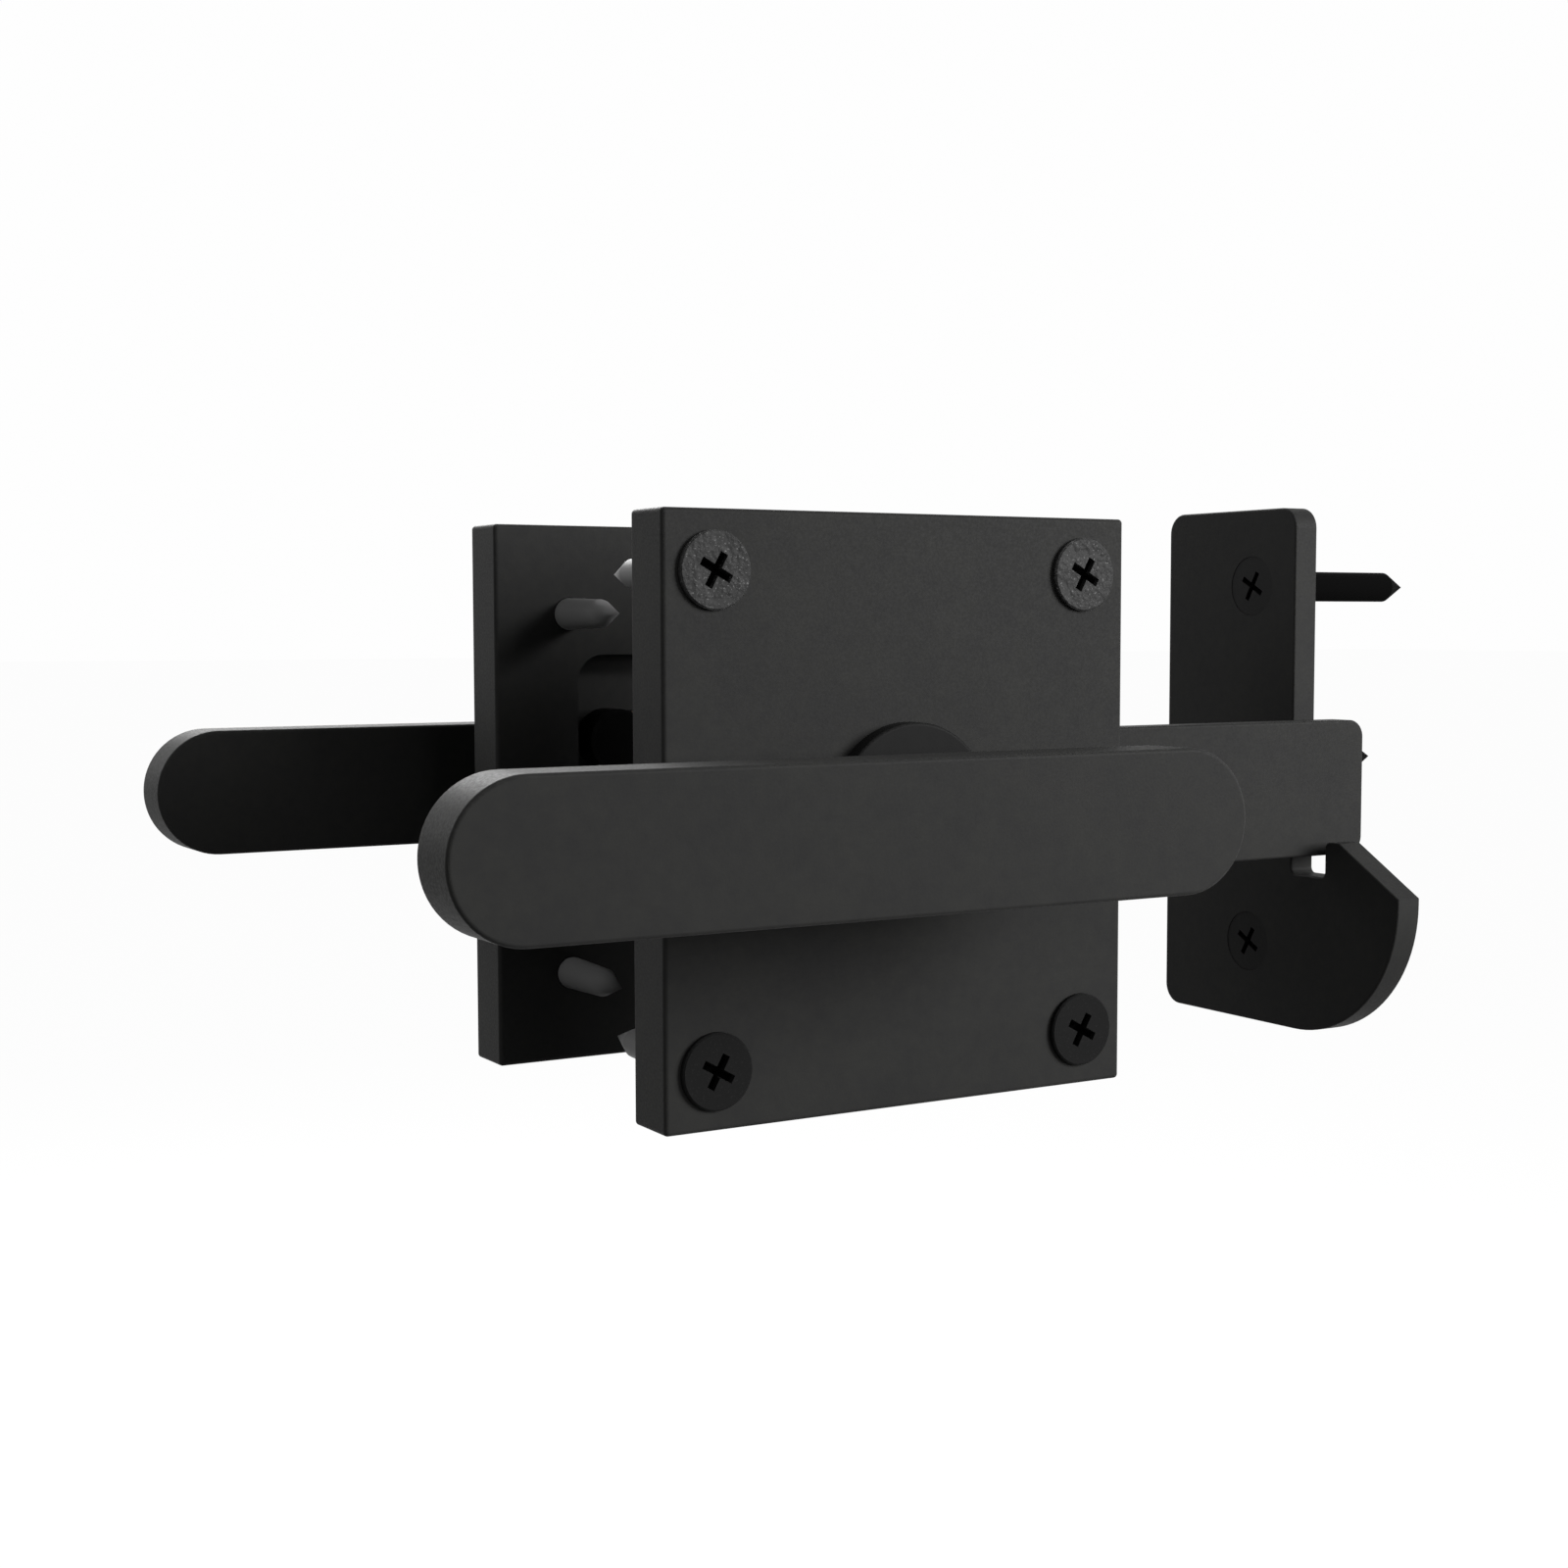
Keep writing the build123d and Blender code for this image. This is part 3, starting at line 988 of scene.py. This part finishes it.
@dataclass
class ReturnSpring:
    """Torsion spring wound from one wire: an end in the hub's flange, a coil and a leg behind the stop pin.

    The coil is wound about +Z with its first end on +X, and then turned to its place. Sizes in millimetres.
    """

    wardrobe: Wardrobe
    wire_radius: float = 0.8
    mean_radius: float = 11.0
    turns: float = 2.5
    wire_gap: float = 0.05
    elbow_radius: float = 1.2
    elbow_reach: float = 2.0
    pin_gap: float = 0.1
    leg_overhang: float = 4.0
    wire_sides: int = 24
    steps_per_turn: int = 96
    elbow_steps: int = 12
    end_bevel: float = 0.12
    bevel_segments: int = 2

    @property
    def climb(self) -> float:
        """Height that the coil gains over all its turns."""
        return self.turns * (2 * self.wire_radius + self.wire_gap)

    def pin(self) -> tuple[float, float, float]:
        """Find the back stop pin.

        Returns:
            Its place left of the spindle as a negative X, its Z and its radius.
        """
        low, high = (Vector(corner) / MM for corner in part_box("back_stop_pin"))
        middle = (low + high) / 2
        return middle.x, middle.z, (high.x - low.x) / 2

    def leg(self) -> tuple[float, float]:
        """Work out the leg, which touches the coil's circle and passes behind the stop pin.

        Returns:
            Its length and the direction of its tangent point, seen from the front, in radians.
        """
        pin_x, pin_z, pin_radius = self.pin()
        reach = math.hypot(pin_x, pin_z)
        offset = self.mean_radius + pin_radius + self.wire_radius + self.pin_gap
        length = math.sqrt(reach**2 - offset**2) + self.leg_overhang
        return length, math.atan2(pin_z, pin_x) - math.acos(-offset / reach)

    def place(self) -> Matrix:
        """Find the turn and the place of the wound spring, from millimetres to metres.

        Returns:
            The matrix from the spring's own frame to the latch's.
        """
        low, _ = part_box("return_spring")
        start = low[1] / MM + self.elbow_reach
        turn = -self.leg()[1] - math.pi - math.tau * self.turns
        lay = Matrix.Rotation(-math.pi / 2, 4, "X") @ Matrix.Rotation(turn, 4, "Z")
        return Matrix.Scale(MM, 4) @ Matrix.Translation((0, start, 0)) @ lay

    def wind(self) -> bmesh.types.BMesh:
        """Wind the wire in its own frame.

        Returns:
            The closed mesh of the spring, in millimetres.
        """
        shape = bmesh.new()
        section = Matrix.Translation((self.mean_radius, 0, 0)) @ Matrix.Rotation(math.pi / 2, 4, "X")
        bmesh.ops.create_circle(shape, segments=self.wire_sides, radius=self.wire_radius, matrix=section)
        first = list(shape.edges)
        end_angle = math.tau * self.turns
        steps = round(self.turns * self.steps_per_turn)
        last = wind_out(shape, first, Vector(), Vector((0, 0, 1)), end_angle, steps, self.climb)
        slope = self.climb / self.turns / (math.tau * self.mean_radius)
        along = Vector((-math.sin(end_angle), math.cos(end_angle), slope)).normalized()
        last = draw_out(shape, last, along * self.leg()[0])
        run = self.elbow_reach - self.elbow_radius
        first = draw_out(shape, first, Vector((0, -run, 0)))
        pivot = Vector((self.mean_radius, -run, -self.elbow_radius))
        first = wind_out(shape, first, pivot, Vector((1, 0, 0)), math.pi / 2, self.elbow_steps)
        first = draw_out(shape, first, Vector((0, 0, -run)))
        for rim in (first, last):
            cap = bmesh.ops.edgeloop_fill(shape, edges=rim)["faces"]
            bmesh.ops.bevel(
                shape,
                geom=list(cap[0].edges),
                offset=self.end_bevel,
                offset_type="OFFSET",
                segments=self.bevel_segments,
                profile=0.5,
                affect="EDGES",
                material=-1,
            )
        for face in shape.faces:
            face.smooth = True
        return shape

    def build(self) -> bpy.types.Object:
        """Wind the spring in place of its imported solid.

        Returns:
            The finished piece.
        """
        shape = self.wind()
        bmesh.ops.transform(shape, matrix=self.place(), verts=shape.verts)
        piece = add_piece("wound_return_spring", shape, self.wardrobe.material(Look.SPRING))
        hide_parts("return_spring")
        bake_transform(piece)
        return piece


@dataclass(frozen=True)
class Softbox:
    """Square lamp at a distance from the latch, aimed at its middle.

    The azimuth is 0 in front of the front plate and grows to the right.
    """

    name: str
    azimuth: float
    elevation: float
    brightness: float
    distance: float = 1.4
    size: float = 0.6

    def build(self, target: Vector) -> None:
        """Add the lamp.

        Args:
            target: point that the lamp faces.
        """
        lamp = bpy.data.lights.new(self.name, "AREA")
        lamp.shape = "SQUARE"
        lamp.size = self.size
        # A larger face takes more power to shine as brightly.
        lamp.energy = self.brightness * math.pi * self.size**2
        holder = bpy.data.objects.new(self.name, lamp)
        turn = Matrix.Rotation(math.radians(self.azimuth), 3, "Z")
        lift = Matrix.Rotation(math.radians(-self.elevation), 3, "X")
        outward = turn @ lift @ Vector((0.0, -1.0, 0.0))
        holder.location = target + outward * self.distance
        holder.rotation_euler = (-outward).to_track_quat("-Z", "Y").to_euler()
        holder.visible_camera = False
        bpy.context.scene.collection.objects.link(holder)


@dataclass
class Studio:
    """Camera at the photograph's place, soft lamps, and a floor and a backdrop that are seen white.

    The floor and the backdrop show white but light the latch dimly, so that it stays dark on a white page.
    """

    # Place, turns and focal length come from a camera fitted to the plates and levers in the photograph.
    camera_place: tuple[float, float, float] = (-0.22142, -0.34711, 0.03386)
    camera_yaw: float = math.radians(30.285)
    camera_pitch: float = math.radians(-4.082)
    camera_roll: float = math.radians(-0.123)
    sensor_mm: float = 36.0
    focal_pixels: float = 2262.1
    near_clip: float = 0.01
    floor_below: float = 0.42
    floor_size: float = 60.0
    floor_colour: str = "404040"
    floor_white: float = 0.975
    sky_level: float = 0.022
    sky_white: float = 0.99
    white: tuple[float, float, float, float] = (1.0, 1.0, 1.0, 1.0)
    target: tuple[float, float, float] = (0.0, 0.02, 0.0)
    lamps: tuple[Softbox, ...] = (
        Softbox("key_softbox", azimuth=42.0, elevation=15.0, brightness=20.3, distance=1.15, size=0.55),
        Softbox("front_softbox", azimuth=0.0, elevation=16.0, brightness=3.4, size=0.5),
        Softbox("left_softbox", azimuth=-86.0, elevation=30.0, brightness=2.6),
        Softbox("rim_softbox", azimuth=-148.0, elevation=20.0, brightness=3.25),
        Softbox("back_softbox", azimuth=172.0, elevation=34.0, brightness=16.0),
    )

    def build(self) -> None:
        """Add everything that isn't part of the latch."""
        self.add_camera()
        self.add_world()
        self.add_floor()
        for lamp in self.lamps:
            lamp.build(Vector(self.target))

    def add_camera(self) -> None:
        """Stand the camera where the photograph was taken from."""
        lens = bpy.data.cameras.new("camera")
        lens.sensor_width = self.sensor_mm
        lens.lens = self.focal_pixels * self.sensor_mm / PHOTO_PIXELS
        lens.clip_start = self.near_clip
        holder = bpy.data.objects.new("camera", lens)
        tilt = Matrix.Rotation(math.pi / 2 + self.camera_pitch, 4, "X")
        heading = Matrix.Rotation(-self.camera_yaw, 4, "Z") @ tilt
        roll = Matrix.Rotation(self.camera_roll, 4, "Z")
        holder.matrix_world = Matrix.Translation(self.camera_place) @ heading @ roll
        bpy.context.scene.collection.objects.link(holder)
        bpy.context.scene.camera = holder

    def seen_ray(self, tree: bpy.types.NodeTree) -> bpy.types.NodeSocket:
        """Tell the rays that show the backdrop from those that light the latch.

        Args:
            tree: node tree of the world or the floor.

        Returns:
            1 for camera, glossy and transmission rays, 0 for others.
        """
        path = add_node(tree, "ShaderNodeLightPath")
        seen = path.outputs["Is Camera Ray"]
        for ray in ("Is Glossy Ray", "Is Transmission Ray"):
            either = add_node(tree, "ShaderNodeMath", {0: seen, 1: path.outputs[ray]}, operation="MAXIMUM")
            seen = either.outputs["Value"]
        return seen

    def add_world(self) -> None:
        """White where it is seen, a dim even grey where it lights."""
        world = bpy.data.worlds.new("backdrop")
        bpy.context.scene.world = world
        world.use_nodes = True
        tree = world.node_tree
        tree.nodes.clear()
        strength = add_node(
            tree,
            "ShaderNodeMapRange",
            {"Value": self.seen_ray(tree), "To Min": self.sky_level, "To Max": self.sky_white},
        ).outputs["Result"]
        sky = add_node(tree, "ShaderNodeBackground", {"Color": self.white, "Strength": strength})
        add_node(tree, "ShaderNodeOutputWorld", {"Surface": sky.outputs["Background"]})

    def add_floor(self) -> None:
        """Floor well below the latch, white where it is seen and dark where it lights."""
        shape = bmesh.new()
        low = Matrix.Translation((0, 0, -self.floor_below))
        bmesh.ops.create_grid(shape, x_segments=1, y_segments=1, size=self.floor_size / 2, matrix=low)
        mesh = bpy.data.meshes.new("floor")
        shape.to_mesh(mesh)
        shape.free()
        floor = bpy.data.objects.new("floor", mesh)
        bpy.context.scene.collection.objects.link(floor)
        material = bpy.data.materials.new("pale_floor")
        material.use_nodes = True
        tree = material.node_tree
        tree.nodes.clear()
        glow = add_node(
            tree, "ShaderNodeMapRange", {"Value": self.seen_ray(tree), "To Max": self.floor_white}
        ).outputs["Result"]
        shader = add_node(
            tree,
            "ShaderNodeBsdfPrincipled",
            {
                "Base Color": linear(self.floor_colour),
                "Roughness": 1.0,
                "Specular IOR Level": 0.0,
                "Emission Color": self.white,
                "Emission Strength": glow,
            },
        )
        add_node(tree, "ShaderNodeOutputMaterial", {"Surface": shader.outputs["BSDF"]})
        mesh.materials.append(material)


def main() -> None:
    """Dress the latch, wind its spring and set up the studio."""
    bpy.context.scene.view_settings.view_transform = "Standard"
    wardrobe = Wardrobe()
    for side in Side:
        gate_side = GateSide(side, wardrobe)
        gate_side.dress()
        gate_side.build()
    LeverSet(wardrobe).dress()
    catch = HookCatch(wardrobe)
    catch.dress()
    catch.build()
    ReturnSpring(wardrobe).build()
    Studio().build()


if __name__ == "__main__":
    main()
